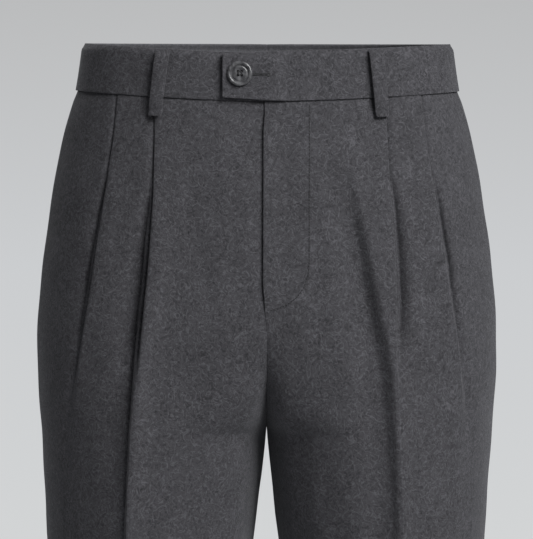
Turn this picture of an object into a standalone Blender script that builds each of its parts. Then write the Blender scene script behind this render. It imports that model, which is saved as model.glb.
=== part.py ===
"""Pleated dress trousers, standing in their worn, filled-out form with nobody in them.

Two fronts with two outward-facing pleats each, two backs, a waistband in two halves
whose left one ends in a buttoned tab, five belt loops and the waist button.

Frame: metres, +Z up, the front faces -Y and +X is the wearer's left. The origin is the
middle of the waist at half the waistband's height, where the waist holds the trousers.

Every cloth piece is a wall laid on one shape. A level is a height, told as the distance
below the origin at the side; the section of half the garment at a level runs from the
centre front round the side to the centre back, and below the fork round one leg.
"""

import math

import bpy
import numpy as np

# Cloth and seams; a wall turns no sharper than the mitre limit allows, as a cosine
CLOTH = 0.0012
BAND_CLOTH = 0.0024
LOOP_CLOTH = 0.0018
SEAM = 0.0003
MITRE_LIMIT = -0.2
SHARP_ANGLE = 50

# Waistband
BAND_TOP = -0.020
BAND_FOOT = 0.020
BAND_LIFT = 0.0005
TAB_REACH = 0.037
TAB_RAMP = 0.020
BAND_TOP_DIP = {"left": 0.0060, "right": 0.0078}
TAB_DROOP = 0.0025
TAB_TAPER = 0.0022
UNDERLAP_END = 0.002

# Fly: the left edge laps past the centre and stands a little proud of the right one
FLY_SHIFT = 0.0022
FLY_STEP = 0.0007
FLY_FEATHER = 0.020
FLY_END = 0.190
FLY_FADE = 0.025

# Belt loops: sewn down at both ends, and off the band between the two turns
LOOP_WIDTH = 0.0115
LOOP_TOP = -0.0197
LOOP_FOOT = 0.0360
LOOP_STANDOFF = 0.0032
LOOP_TOP_TURN = 0.006
LOOP_FOOT_TURN = 0.010
LOOP_FOOT_GAP = 0.0006

# Waist button: its place on the tab, and the level of the band that lies behind it
BUTTON_X = -0.0227
BUTTON_Z = -0.0048
BUTTON_LEVEL = -0.0012
BUTTON_TILT = 5
BUTTON_RADIUS = 0.0105
BUTTON_THICKNESS = 0.0034
BUTTON_HOLE_RADIUS = 0.0010
BUTTON_HOLE_SPREAD = 0.0019
BUTTON_HOLES = 4
BUTTON_STEPS = 28

# How a section's curves are drawn, and how the cloth lies near a pleat
REACH = 0.38
SPAN_POINTS = 60
TENT_REACH = 0.022
SETTLE = 0.012
FOLD_TURNS = 3
FOLD_OPEN = 0.0008
MOUTH_SHARE = 0.7

# Columns of points across each stretch of cloth; the tent's are shares of its reach
FACE_COLUMNS = 7
TENT_COLUMNS = (0.4, 0.7, 1.0)
MOUTH_COLUMNS = 4
BACK_COLUMNS = 8
TAB_COLUMNS = 6
TAB_RAMP_COLUMNS = 5
BAND_FRONT_COLUMNS = 10
BAND_BACK_COLUMNS = 14


def table(columns, rows):
    """Named columns of numbers, one row for each level."""
    return dict(zip(columns.split(), np.array(rows, dtype=float).T))


# The middle of the front, down the fly and round the rise to the fork. A section leaves
# it towards (toward_x, toward_y): straight across the belly, or forward along the thigh.
RISE = table("down x y z toward_x toward_y", (
    (-0.020, 0.0000, -0.0875, 0.0130, 0.0300, -0.0875),
    (0.020, 0.0000, -0.0925, -0.0275, 0.0320, -0.0925),
    (0.060, 0.0000, -0.1000, -0.0660, 0.0340, -0.1000),
    (0.110, 0.0000, -0.1065, -0.1140, 0.0360, -0.1065),
    (0.160, 0.0000, -0.1105, -0.1620, 0.0380, -0.1105),
    (0.200, 0.0000, -0.1115, -0.2020, 0.0360, -0.1125),
    (0.220, 0.0000, -0.1095, -0.2225, 0.0280, -0.1135),
    (0.236, 0.0000, -0.1045, -0.2405, 0.0180, -0.1140),
    (0.250, 0.0000, -0.0955, -0.2570, 0.0115, -0.1140),
    (0.262, 0.0000, -0.0830, -0.2715, 0.0080, -0.1130),
    (0.273, 0.0000, -0.0660, -0.2835, 0.0062, -0.1110),
    (0.283, 0.0000, -0.0450, -0.2935, 0.0052, -0.1080),
    (0.292, 0.0000, -0.0190, -0.3015, 0.0046, -0.1040),
    (0.302, 0.0000, 0.0150, -0.3070, 0.0045, -0.1000)))

# The middle of the back, down the seat to the fork, read the same way.
SEAT = table("down x y z toward_x toward_y", (
    (-0.020, 0.0000, 0.0965, 0.0200, 0.0300, 0.0965),
    (0.020, 0.0000, 0.1030, -0.0200, 0.0320, 0.1030),
    (0.060, 0.0000, 0.1180, -0.0600, 0.0340, 0.1180),
    (0.110, 0.0000, 0.1340, -0.1100, 0.0360, 0.1340),
    (0.160, 0.0000, 0.1440, -0.1600, 0.0370, 0.1440),
    (0.190, 0.0000, 0.1460, -0.1900, 0.0350, 0.1465),
    (0.210, 0.0000, 0.1450, -0.2110, 0.0300, 0.1475),
    (0.224, 0.0000, 0.1415, -0.2270, 0.0230, 0.1475),
    (0.236, 0.0000, 0.1360, -0.2415, 0.0165, 0.1465),
    (0.250, 0.0000, 0.1255, -0.2575, 0.0110, 0.1440),
    (0.262, 0.0000, 0.1115, -0.2715, 0.0080, 0.1405),
    (0.273, 0.0000, 0.0935, -0.2835, 0.0062, 0.1360),
    (0.283, 0.0000, 0.0720, -0.2935, 0.0052, 0.1305),
    (0.292, 0.0000, 0.0470, -0.3015, 0.0046, 0.1245),
    (0.302, 0.0000, 0.0150, -0.3070, 0.0045, 0.1170)))

# The inseam from the fork to the hem; the front leaves it towards front_y, the back back_y.
INSEAM = table("down x y z toward_x front_y back_y", (
    (0.302, 0.0000, 0.0150, -0.3070, 0.0045, -0.1000, 0.1170),
    (0.314, 0.0014, 0.0165, -0.3170, 0.0055, -0.0980, 0.1140),
    (0.326, 0.0019, 0.0170, -0.3265, 0.0065, -0.0965, 0.1110),
    (0.342, 0.0036, 0.0170, -0.3420, 0.0085, -0.0945, 0.1080),
    (0.376, 0.0075, 0.0165, -0.3760, 0.0130, -0.0905, 0.1040),
    (0.410, 0.0115, 0.0160, -0.4100, 0.0170, -0.0865, 0.1000),
    (0.500, 0.0225, 0.0145, -0.5000, 0.0280, -0.0765, 0.0910),
    (0.600, 0.0345, 0.0130, -0.6000, 0.0390, -0.0655, 0.0820),
    (0.700, 0.0440, 0.0120, -0.7000, 0.0480, -0.0570, 0.0745),
    (0.850, 0.0545, 0.0110, -0.8500, 0.0575, -0.0480, 0.0670),
    (1.075, 0.0680, 0.0100, -1.0750, 0.0700, -0.0400, 0.0600)))
FORK = 0.302

# The front crease line, where the inner pleat's edge lies. arrive and leave are headings
# in degrees, 0 along +X and -90 straight forward; reach is the share of the way to the
# middle over which the section keeps its heading.
FRONT_CREASE = table("down y arrive leave reach", (
    (-0.020, -0.0760, 17, 17, 0.38),
    (0.020, -0.0800, 17, 17, 0.38),
    (0.110, -0.0945, 16, 16, 0.38),
    (0.190, -0.1040, 13, 14, 0.40),
    (0.220, -0.1070, 8, 13, 0.52),
    (0.236, -0.1085, 4, 13, 0.62),
    (0.262, -0.1105, -2, 16, 0.74),
    (0.302, -0.1125, -7, 21, 0.80),
    (0.335, -0.1125, -10, 24, 0.80),
    (0.410, -0.1095, -15, 28, 0.78),
    (0.500, -0.1020, -19, 31, 0.74),
    (0.635, -0.0920, -26, 34, 0.68),
    (0.800, -0.0840, -32, 38, 0.62),
    (1.075, -0.0780, -38, 41, 0.55)))

# The widest line of the side, and how far forward or back the side seam runs.
SIDE = table("down x y seam_y", (
    (-0.020, 0.1578, 0.0040, -0.0130),
    (0.020, 0.1637, 0.0040, -0.0130),
    (0.045, 0.1718, 0.0045, -0.0125),
    (0.080, 0.1803, 0.0055, -0.0120),
    (0.115, 0.1861, 0.0065, -0.0115),
    (0.150, 0.1913, 0.0075, -0.0110),
    (0.185, 0.1951, 0.0080, -0.0105),
    (0.220, 0.1972, 0.0080, -0.0100),
    (0.250, 0.1976, 0.0080, -0.0095),
    (0.285, 0.1961, 0.0080, -0.0090),
    (0.320, 0.1935, 0.0075, -0.0080),
    (0.355, 0.1913, 0.0070, -0.0070),
    (0.405, 0.1879, 0.0065, -0.0050),
    (0.500, 0.1839, 0.0062, -0.0030),
    (0.635, 0.1810, 0.0060, 0.0000),
    (0.800, 0.1796, 0.0060, 0.0020),
    (1.075, 0.1788, 0.0060, 0.0040)))

# The back crease line; above the thigh it only shapes the seat.
BACK_CREASE = table("down x y arrive leave reach", (
    (-0.020, 0.0820, 0.0860, 163, 163, 0.38),
    (0.020, 0.0850, 0.0915, 163, 163, 0.38),
    (0.110, 0.0920, 0.1230, 163, 163, 0.38),
    (0.190, 0.0970, 0.1385, 163, 166, 0.42),
    (0.220, 0.0985, 0.1390, 162, 170, 0.54),
    (0.236, 0.0990, 0.1380, 161, 174, 0.62),
    (0.262, 0.1000, 0.1350, 159, 180, 0.74),
    (0.302, 0.1015, 0.1295, 156, 187, 0.80),
    (0.335, 0.1025, 0.1250, 154, 191, 0.80),
    (0.410, 0.1060, 0.1185, 151, 196, 0.78),
    (0.500, 0.1090, 0.1110, 147, 200, 0.74),
    (0.635, 0.1140, 0.1020, 144, 207, 0.68),
    (0.800, 0.1185, 0.0955, 141, 213, 0.62),
    (1.075, 0.1240, 0.0905, 138, 219, 0.55)))

# The pleats. x is where the fold's edge lies on each side. run is how far the cloth goes
# back under itself, bend how far it is turned over (180 is flat), bow the length of each
# turn along the cloth, top how far the upper layer stands out, and mouth how far the lower
# layer needs to come up to the surface. Below its pleat the inner fold is the pressed crease.
PLEAT_COLUMNS = "down left_x right_x run bend bow top mouth"
INNER_PLEAT = table(PLEAT_COLUMNS, (
    (0.020, 0.0980, 0.0935, 0.0200, 180, 0.0025, 0.0003, 0.0060),
    (0.060, 0.1000, 0.0938, 0.0180, 180, 0.0028, 0.0006, 0.0070),
    (0.100, 0.1022, 0.0942, 0.0150, 179, 0.0042, 0.0018, 0.0100),
    (0.140, 0.1052, 0.0965, 0.0115, 177, 0.0062, 0.0032, 0.0130),
    (0.170, 0.1068, 0.0988, 0.0085, 171, 0.0074, 0.0042, 0.0145),
    (0.195, 0.1076, 0.1012, 0.0055, 160, 0.0074, 0.0044, 0.0145),
    (0.213, 0.1076, 0.1030, 0.0032, 144, 0.0062, 0.0043, 0.0140),
    (0.228, 0.1075, 0.1045, 0.0018, 112, 0.0042, 0.0041, 0.0140),
    (0.243, 0.1074, 0.1060, 0.0012, 68, 0.0027, 0.0039, 0.0140),
    (0.260, 0.1076, 0.1077, 0.0013, 38, 0.0022, 0.0037, 0.0145),
    (0.285, 0.1082, 0.1099, 0.0012, 25, 0.0016, 0.0035, 0.0150),
    (0.320, 0.1095, 0.1123, 0.0010, 20, 0.0013, 0.0033, 0.0155),
    (0.405, 0.1125, 0.1165, 0.0010, 20, 0.0013, 0.0030, 0.0160),
    (0.635, 0.1175, 0.1190, 0.0010, 18, 0.0013, 0.0024, 0.0150),
    (1.075, 0.1255, 0.1265, 0.0010, 15, 0.0013, 0.0018, 0.0130)))

OUTER_PLEAT = table(PLEAT_COLUMNS, (
    (0.020, 0.1285, 0.1252, 0.0130, 180, 0.0025, 0.0003, 0.0050),
    (0.060, 0.1330, 0.1290, 0.0120, 180, 0.0026, 0.0004, 0.0065),
    (0.100, 0.1395, 0.1350, 0.0105, 179, 0.0030, 0.0010, 0.0085),
    (0.140, 0.1455, 0.1405, 0.0085, 176, 0.0038, 0.0016, 0.0100),
    (0.170, 0.1503, 0.1448, 0.0062, 168, 0.0042, 0.0020, 0.0105),
    (0.195, 0.1541, 0.1486, 0.0040, 152, 0.0037, 0.0021, 0.0105),
    (0.213, 0.1572, 0.1516, 0.0022, 124, 0.0028, 0.0019, 0.0105),
    (0.228, 0.1597, 0.1543, 0.0014, 90, 0.0022, 0.0016, 0.0105),
    (0.243, 0.1618, 0.1570, 0.0012, 58, 0.0021, 0.0013, 0.0105),
    (0.260, 0.1635, 0.1593, 0.0018, 34, 0.0024, 0.0009, 0.0105),
    (0.285, 0.1647, 0.1620, 0.0030, 15, 0.0028, 0.0005, 0.0100),
    (0.320, 0.1645, 0.1630, 0.0045, 4, 0.0032, 0.0001, 0.0100),
    (0.405, 0.1610, 0.1610, 0.0050, 2, 0.0036, 0.0000, 0.0090),
    (0.635, 0.1570, 0.1570, 0.0045, 2, 0.0032, 0.0000, 0.0070),
    (1.075, 0.1580, 0.1580, 0.0035, 2, 0.0026, 0.0000, 0.0050)))

# How far in from the inner pleat's edge the cloth stays raised, where that is more than the
# fold itself: a band that narrows downwards on the left, and nothing more on the right.
SHELF = table("down left right", (
    (0.020, 0.0240, 0.0000),
    (0.085, 0.0290, 0.0000),
    (0.112, 0.0275, 0.0000),
    (0.142, 0.0227, 0.0000),
    (0.175, 0.0180, 0.0000),
    (0.200, 0.0136, 0.0000),
    (0.225, 0.0085, 0.0000),
    (0.250, 0.0040, 0.0000),
    (0.285, 0.0000, 0.0000)))

FRONT_LEVELS = (
    0.020, 0.038, 0.060, 0.084, 0.108, 0.132, 0.155, 0.176, 0.195, 0.210, 0.222, 0.234,
    0.247, 0.260, 0.272, 0.283, 0.292, 0.302, 0.314, 0.334, 0.370, 0.430, 0.510, 0.610,
    0.740, 0.900, 1.075)
BACK_LEVELS = (
    0.020, 0.038, 0.060, 0.084, 0.108, 0.155, 0.190, 0.210, 0.224, 0.237, 0.250, 0.262,
    0.273, 0.283, 0.292, 0.302, 0.314, 0.334, 0.370, 0.430, 0.510, 0.610, 0.740, 0.900,
    1.075)
BAND_LEVELS = (BAND_TOP, -0.007, 0.007, BAND_FOOT)
LOOP_LEVELS = (LOOP_TOP, -0.0180, -0.0135, 0.0000, 0.0140, 0.0260, 0.0325, LOOP_FOOT)

# Where each loop's middle lies along the section, at its top and at its foot. A front
# loop's arc is measured from the centre front, a back loop's from the centre back.
LOOPS = {
    # name: (side, half, top_arc, foot_arc)
    "belt_loop_front_left": ("left", "front", 0.0895, 0.0955),
    "belt_loop_front_right": ("right", "front", 0.0866, 0.0935),
    "belt_loop_back_left": ("left", "back", 0.1020, 0.1050),
    "belt_loop_back_right": ("right", "back", 0.1020, 0.1050),
    "belt_loop_centre_back": ("left", "back", 0.0000, 0.0000),
}

# Half the button's profile, from the middle of its face round the rim to the middle of
# its back, as shares of its radius and thickness.
BUTTON_PROFILE = (
    # (radius_share, thickness_share)
    (0.000, 0.68),
    (0.450, 0.68),
    (0.692, 0.74),
    (0.819, 0.95),
    (0.900, 1.00),
    (0.964, 0.88),
    (1.000, 0.62),
    (0.950, 0.30),
    (0.720, 0.00),
    (0.000, 0.00))

MATERIALS = {
    # name: (colour, roughness)
    "wool": ((0.060, 0.060, 0.068, 1.0), 0.90),
    "horn": ((0.020, 0.020, 0.023, 1.0), 0.30),
}


# ---------------------------------------------------------------- shape of the garment

def read(rows, name, down):
    """One column of a table at a level, on a smooth curve that never overshoots."""
    levels, values = rows["down"], rows[name]
    down = min(max(down, levels[0]), levels[-1])
    gaps = np.diff(levels)
    slopes = np.diff(values) / gaps
    rates = np.zeros(len(values))
    rates[0], rates[-1] = slopes[0], slopes[-1]
    for i in range(1, len(values) - 1):
        if slopes[i - 1] * slopes[i] > 0:
            rates[i] = 2 * slopes[i - 1] * slopes[i] / (slopes[i - 1] + slopes[i])
    i = min(max(int(np.searchsorted(levels, down)) - 1, 0), len(gaps) - 1)
    t = (down - levels[i]) / gaps[i]
    start, end = values[i], values[i + 1]
    rate_in, rate_out = rates[i] * gaps[i], rates[i + 1] * gaps[i]
    return ((1 + 2 * t) * (1 - t) ** 2 * start + t * (1 - t) ** 2 * rate_in
            + t * t * (3 - 2 * t) * end - t * t * (1 - t) * rate_out)


def ease(t):
    """From 0 to 1, flat at both ends."""
    t = min(max(t, 0.0), 1.0)
    return t * t * (3 - 2 * t)


def steepen(t):
    """From 0 to 1, flat at 0 and steepest at 1."""
    t = min(max(t, 0.0), 1.0)
    return t * t


def handle(place, other, heading, reach):
    """The point a curve heads for as it leaves a place; a negative reach looks back."""
    length = reach * math.dist(place, other)
    heading = math.radians(heading)
    return np.array(place) + length * np.array((math.cos(heading), math.sin(heading)))


def face_end(crease, middle, heading, reach):
    """The point up to which a face keeps its heading on the way from a crease inwards."""
    across = reach * (middle[0] - crease[0])
    return np.array(crease) + np.array((across, across * math.tan(math.radians(heading))))


def curve(start, first, second, end):
    """Points of a cubic curve from its ends and the points it heads for between them."""
    t = np.linspace(0, 1, SPAN_POINTS)[:, None]
    start, first, second, end = (np.array(point) for point in (start, first, second, end))
    return ((1 - t) ** 3 * start + 3 * t * (1 - t) ** 2 * first
            + 3 * t * t * (1 - t) * second + t ** 3 * end)


class Section:
    """Half the garment's mid-surface at one level, measured along its arc from the front."""

    def __init__(self, down, side):
        self.down = down
        if down <= FORK:
            front, belly, self.front_z = self.middle(RISE, "toward_y")
            back, seat, self.back_z = self.middle(SEAT, "toward_y")
        else:
            front, belly, self.front_z = self.middle(INSEAM, "front_y")
            back, seat, self.back_z = self.middle(INSEAM, "back_y")
        crease = [read(INNER_PLEAT, side + "_x", down), read(FRONT_CREASE, "y", down)]
        widest = [read(SIDE, name, down) for name in ("x", "y")]
        rear = [read(BACK_CREASE, name, down) for name in ("x", "y")]
        arrive, leave, reach = (read(FRONT_CREASE, name, down)
                                for name in ("arrive", "leave", "reach"))
        inner = curve(front, belly, face_end(crease, front, arrive, reach), crease)
        outer = curve(crease, handle(crease, widest, leave, REACH),
                      handle(widest, crease, 90, -REACH), widest)
        arrive, leave, reach = (read(BACK_CREASE, name, down)
                                for name in ("arrive", "leave", "reach"))
        hip = curve(widest, handle(widest, rear, 90, REACH),
                    handle(rear, widest, arrive, -REACH), rear)
        last = curve(rear, face_end(rear, back, leave, reach), seat, back)
        curves = (inner, outer, hip, last)
        outline = np.vstack([curves[0]] + [curve[1:] for curve in curves[1:]])
        steps = np.linalg.norm(np.diff(outline, axis=0), axis=1)
        self.arcs = np.concatenate(([0.0], np.cumsum(steps)))
        self.outline = outline
        self.widest = self.arcs[2 * SPAN_POINTS - 2]
        self.rear = self.arcs[3 * SPAN_POINTS - 3]
        self.end = self.arcs[-1]
        quarter = slice(SPAN_POINTS - 1, 2 * SPAN_POINTS - 1)
        self.seam = float(np.interp(read(SIDE, "seam_y", down), outline[quarter, 1],
                                    self.arcs[quarter]))

    def middle(self, rows, toward_y):
        """A centre line or the inseam: its place, where the section heads, and its height."""
        place = [read(rows, name, self.down) for name in ("x", "y")]
        toward = [read(rows, "toward_x", self.down), read(rows, toward_y, self.down)]
        return place, toward, read(rows, "z", self.down)

    def height(self, arc):
        """Height of the section, which is level at the side and may dip towards a centre."""
        if arc < self.widest:
            share = 0.5 * (1 + math.cos(math.pi * arc / self.widest))
            return -self.down + (self.front_z + self.down) * share
        share = 0.5 * (1 - math.cos(math.pi * (arc - self.widest) / (self.end - self.widest)))
        return -self.down + (self.back_z + self.down) * share

    def heading(self, arc):
        """Unit direction of the section at an arc length, seen from above."""
        i = min(max(int(np.searchsorted(self.arcs, arc)), 1), len(self.arcs) - 1)
        step = self.outline[i] - self.outline[i - 1]
        return step / np.linalg.norm(step)

    def spot(self, arc, lift=0.0):
        """A point of the mid-surface, moved out level by a lift. Past 0 it is mirrored."""
        if arc < 0:
            mirrored = self.spot(-arc, lift)
            return np.array((-mirrored[0], mirrored[1], mirrored[2]))
        x = np.interp(arc, self.arcs, self.outline[:, 0])
        y = np.interp(arc, self.arcs, self.outline[:, 1])
        along = self.heading(arc)
        return np.array((x + lift * along[1], y - lift * along[0], self.height(arc)))

    def arc_at_x(self, x):
        """Arc length where the front of the section reaches x."""
        front = slice(0, 2 * SPAN_POINTS - 1)
        return float(np.interp(x, self.outline[front, 0], self.arcs[front]))


def seam_frame(side, name, down):
    """Place, outward direction and sewing direction of a seam of the panels at a level."""
    step = 0.0005

    def place(level):
        section = Section(level, side)
        arc = {"front": 0.0, "side": section.seam, "back": section.end}[name]
        return section, arc, section.spot(arc)

    above, below = place(down - step)[2], place(down + step)[2]
    section, arc, middle = place(down)
    reach = 0.002
    if name == "front":
        along = section.spot(reach) - middle
    elif name == "back":
        along = middle - section.spot(arc - reach)
    else:
        along = section.spot(arc + reach) - section.spot(arc - reach)
    outward = np.cross(below - above, along)
    outward /= np.linalg.norm(outward)
    along = np.cross(outward, below - above)
    return middle, outward, along / np.linalg.norm(along)


# ---------------------------------------------------------------- cloth walls

def wall_mesh(name, grid, thickness, edge_normals, mirrored):
    """A closed wall on a grid of mid-surface points, rows down and columns across.

    A point's two faces lie half the wall to either side, along the corner's own
    direction, so the wall keeps its thickness round a tight fold. The outer columns
    use the seam's normals, which both neighbours share.
    """
    rows, columns = grid.shape[:2]
    normals = np.zeros_like(grid)
    for r in range(rows):
        down = grid[min(r + 1, rows - 1)] - grid[max(r - 1, 0)]
        across = np.diff(grid[r], axis=0)
        sides = []
        for c in range(columns - 1):
            facing = np.cross(down[c] + down[c + 1], across[c])
            sides.append(facing / np.linalg.norm(facing))
        for c in range(columns):
            first, second = sides[max(c - 1, 0)], sides[min(c, columns - 2)]
            bend = max(float(first @ second), MITRE_LIMIT)
            normals[r, c] = (first + second) / (1 + bend)
    for column, chosen in zip((0, -1), edge_normals):
        if chosen is not None:
            normals[:, column] = chosen
    outer = grid + normals * thickness / 2
    inner = grid - normals * thickness / 2
    flip = np.array((-1.0, 1.0, 1.0)) if mirrored else np.ones(3)
    points = np.vstack((outer.reshape(-1, 3), inner.reshape(-1, 3))) * flip
    count = rows * columns

    def at(r, c, layer):
        return layer * count + r * columns + c

    faces = []
    for r in range(rows - 1):
        for c in range(columns - 1):
            faces.append((at(r, c, 0), at(r + 1, c, 0), at(r + 1, c + 1, 0), at(r, c + 1, 0)))
            faces.append((at(r, c, 1), at(r, c + 1, 1), at(r + 1, c + 1, 1), at(r + 1, c, 1)))
    for c in range(columns - 1):
        faces.append((at(0, c, 0), at(0, c + 1, 0), at(0, c + 1, 1), at(0, c, 1)))
        end = rows - 1
        faces.append((at(end, c, 0), at(end, c, 1), at(end, c + 1, 1), at(end, c + 1, 0)))
    for r in range(rows - 1):
        faces.append((at(r, 0, 0), at(r, 0, 1), at(r + 1, 0, 1), at(r + 1, 0, 0)))
        end = columns - 1
        faces.append((at(r, end, 0), at(r + 1, end, 0), at(r + 1, end, 1), at(r, end, 1)))
    if mirrored:
        faces = [face[:1] + face[:0:-1] for face in faces]
    mesh = bpy.data.meshes.new(name)
    mesh.from_pydata([tuple(point) for point in points], [], faces)
    mesh.validate()
    mesh.shade_smooth()
    mesh.set_sharp_from_angle(angle=math.radians(SHARP_ANGLE))
    return mesh


def make_piece(name, mesh, material, collection):
    piece = bpy.data.objects.new(name, mesh)
    piece.data.materials.append(material)
    collection.objects.link(piece)
    return piece


# ---------------------------------------------------------------- fronts

class Pleat:
    """One pleat at one level, in the section's own terms of arc and lift."""

    def __init__(self, rows, section, side):
        down = section.down
        self.run = read(rows, "run", down)
        self.bend = math.radians(read(rows, "bend", down))
        self.radius = read(rows, "bow", down) / self.bend
        self.top = read(rows, "top", down)
        self.edge = section.arc_at_x(read(rows, side + "_x", down))
        self.start = self.edge - self.radius * math.sin(min(self.bend, math.pi / 2))
        self.under = self.fold()[-1]
        self.emerge = self.under[0] + self.run
        self.rise = self.emerge + FOLD_OPEN
        self.mouth = read(rows, "mouth", down)

    def lower(self, arc):
        """Lift of the lower layer, which comes up steeply at first and then ever less."""
        return self.under[1] * steepen(1 - (arc - self.rise) / self.mouth)

    def fold(self):
        """The fold: the upper layer's turn, the run back under it and the lower turn."""
        turned = np.array((math.sin(self.bend), math.cos(self.bend)))
        centre = np.array((self.start, self.top - self.radius))
        path = []
        for i in range(1, FOLD_TURNS + 1):
            angle = self.bend * i / FOLD_TURNS
            path.append(centre + self.radius * np.array((math.sin(angle), math.cos(angle))))
        back = np.array((turned[1], -turned[0]))
        path.append(path[-1] + back * self.run / 2)
        path.append(path[-1] + back * self.run / 2)
        centre = path[-1] + self.radius * turned
        for i in range(1, FOLD_TURNS + 1):
            angle = self.bend * (1 - i / FOLD_TURNS)
            path.append(centre - self.radius * np.array((math.sin(angle), math.cos(angle))))
        return path


def past_fold(pleat, end):
    """Arcs of the lower layer, out from under its fold, up its mouth and on to the end."""
    lip = pleat.rise + min(pleat.mouth, MOUTH_SHARE * (end - pleat.rise))
    return [(pleat.under[0] + pleat.emerge) / 2, pleat.emerge,
            *np.linspace(pleat.rise, lip, MOUTH_COLUMNS),
            *np.linspace(lip, end, MOUTH_COLUMNS)[1:]]


def front_path(section, side):
    """(arc, lift) of a front panel's columns, from the centre front to the side seam."""
    inner = Pleat(INNER_PLEAT, section, side)
    outer = Pleat(OUTER_PLEAT, section, side)
    sign = 1 if side == "left" else -1
    lap = 1 - ease((section.down - FLY_END) / FLY_FADE)
    start = SEAM / 2 - sign * FLY_SHIFT * lap
    shelf = min(inner.start - inner.run, inner.edge - read(SHELF, side, section.down))
    foot = shelf - TENT_REACH

    def upper(arc):
        fly = sign * FLY_STEP * lap * (1 - ease((arc - start) / FLY_FEATHER))
        return inner.top * steepen((arc - foot) / TENT_REACH) + fly

    ready = outer.start - outer.run

    def between(arc):
        return inner.lower(arc) + outer.top * ease((arc - ready + SETTLE) / SETTLE)

    face = [*np.linspace(start, foot, FACE_COLUMNS),
            *(foot + share * TENT_REACH for share in TENT_COLUMNS)]
    path = [(arc, upper(arc)) for arc in face]
    path += [((shelf + inner.start) / 2, inner.top), (inner.start, inner.top)]
    path += [tuple(point) for point in inner.fold()]
    path += [(arc, between(arc)) for arc in past_fold(inner, ready)]
    path += [(outer.start - outer.run / 2, outer.top), (outer.start, outer.top)]
    path += [tuple(point) for point in outer.fold()]
    path += [(arc, outer.lower(arc)) for arc in past_fold(outer, section.seam)]
    return path


def panel_edges(grid, side, levels, first, last):
    """Move a panel's outer columns to their seams and give the normals they share."""
    normals = []
    for column, name, sense in ((0, first, 1), (-1, last, -1)):
        chosen = []
        for r, down in enumerate(levels):
            place, outward, along = seam_frame(side, name, down)
            on_centre = name != "side" and down <= FORK
            if on_centre:
                grid[r, column, 0] += CLOTH / 2 * abs(outward[0])
            else:
                grid[r, column] = place + sense * along * SEAM / 2
            chosen.append(outward)
        normals.append(np.array(chosen))
    return normals


def front_panel(side, material, collection):
    grid = []
    for i, down in enumerate(FRONT_LEVELS):
        section = Section(down, side)
        row = [section.spot(arc, lift) for arc, lift in front_path(section, side)]
        if i == 0:
            row = [point - np.array((0, 0, SEAM / 2)) for point in row]
        grid.append(row)
    grid = np.array(grid)
    normals = panel_edges(grid, side, FRONT_LEVELS, "front", "side")
    mesh = wall_mesh("front_" + side, grid, CLOTH, normals, side == "right")
    make_piece("front_" + side, mesh, material, collection)


# ---------------------------------------------------------------- backs

def back_panel(side, material, collection):
    grid = []
    for i, down in enumerate(BACK_LEVELS):
        section = Section(down, side)
        arcs = [*np.linspace(section.seam, section.rear, BACK_COLUMNS),
                *np.linspace(section.rear, section.end, BACK_COLUMNS)[1:]]
        row = [section.spot(arc) for arc in arcs]
        if down <= FORK:
            row[-1][0] = SEAM / 2
        if i == 0:
            row = [point - np.array((0, 0, SEAM / 2)) for point in row]
        grid.append(row)
    grid = np.array(grid)
    normals = panel_edges(grid, side, BACK_LEVELS, "side", "back")
    mesh = wall_mesh("back_" + side, grid, CLOTH, normals, side == "right")
    make_piece("back_" + side, mesh, material, collection)


# ---------------------------------------------------------------- waistband

def band_lift(arc, side):
    """How far the band stands out; the left one climbs over the right to form the tab."""
    if side == "right":
        return BAND_LIFT
    over = 1 - ease((arc - UNDERLAP_END) / (TAB_RAMP - UNDERLAP_END))
    return BAND_LIFT + (BAND_CLOTH + SEAM) * over


def band_point(side, down, arc, lift):
    """A point of the waistband, with the dip of its top edge and the tab's taper."""
    section = Section(down, side)
    point = section.spot(arc, lift)
    rise = (BAND_FOOT - down) / (BAND_FOOT - BAND_TOP)
    share = 0.5 * (1 + math.cos(math.pi * min(abs(arc) / section.widest, 1.0)))
    plain_dip = -BAND_TOP - read(RISE, "z", BAND_TOP)
    point[2] -= (BAND_TOP_DIP[side] - plain_dip) * share * rise
    if side == "left" and arc < TAB_RAMP:
        along_tab = ease((TAB_RAMP - arc) / (TAB_RAMP + TAB_REACH))
        point[2] -= TAB_DROOP * along_tab * rise
        point[2] += TAB_TAPER * along_tab * (1 - rise)
    return point


def waistband(side, material, collection):
    grid = []
    for down in BAND_LEVELS:
        section = Section(down, side)
        if side == "left":
            arcs = [*np.linspace(-TAB_REACH, 0.0, TAB_COLUMNS),
                    *np.linspace(0.0, TAB_RAMP, TAB_RAMP_COLUMNS)[1:]]
        else:
            arcs = [UNDERLAP_END, TAB_RAMP]
        arcs += [*np.linspace(TAB_RAMP, section.widest, BAND_FRONT_COLUMNS)[1:],
                 *np.linspace(section.widest, section.end - SEAM / 2, BAND_BACK_COLUMNS)[1:]]
        row = [band_point(side, down, arc, band_lift(arc, side)) for arc in arcs]
        row[-1][0] = SEAM / 2
        if down == BAND_FOOT:
            row = [point + np.array((0, 0, SEAM / 2)) for point in row]
        grid.append(row)
    grid = np.array(grid)
    rear = np.tile((0.0, 1.0, 0.0), (len(BAND_LEVELS), 1))
    mesh = wall_mesh("waistband_" + side, grid, BAND_CLOTH, (None, rear), side == "right")
    make_piece("waistband_" + side, mesh, material, collection)


# ---------------------------------------------------------------- belt loops

def loop_lift(down):
    """Lift of a belt loop's mid-line: on the cloth at both ends, off it between them."""
    band_face = BAND_LIFT + BAND_CLOTH / 2
    rest = band_face if down < BAND_FOOT else CLOTH / 2 + LOOP_FOOT_GAP
    half_wall = SEAM + LOOP_CLOTH / 2
    bow = min(ease((down - LOOP_TOP) / LOOP_TOP_TURN), ease((LOOP_FOOT - down) / LOOP_FOOT_TURN))
    return rest + half_wall + (band_face + LOOP_STANDOFF - rest) * bow


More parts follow.
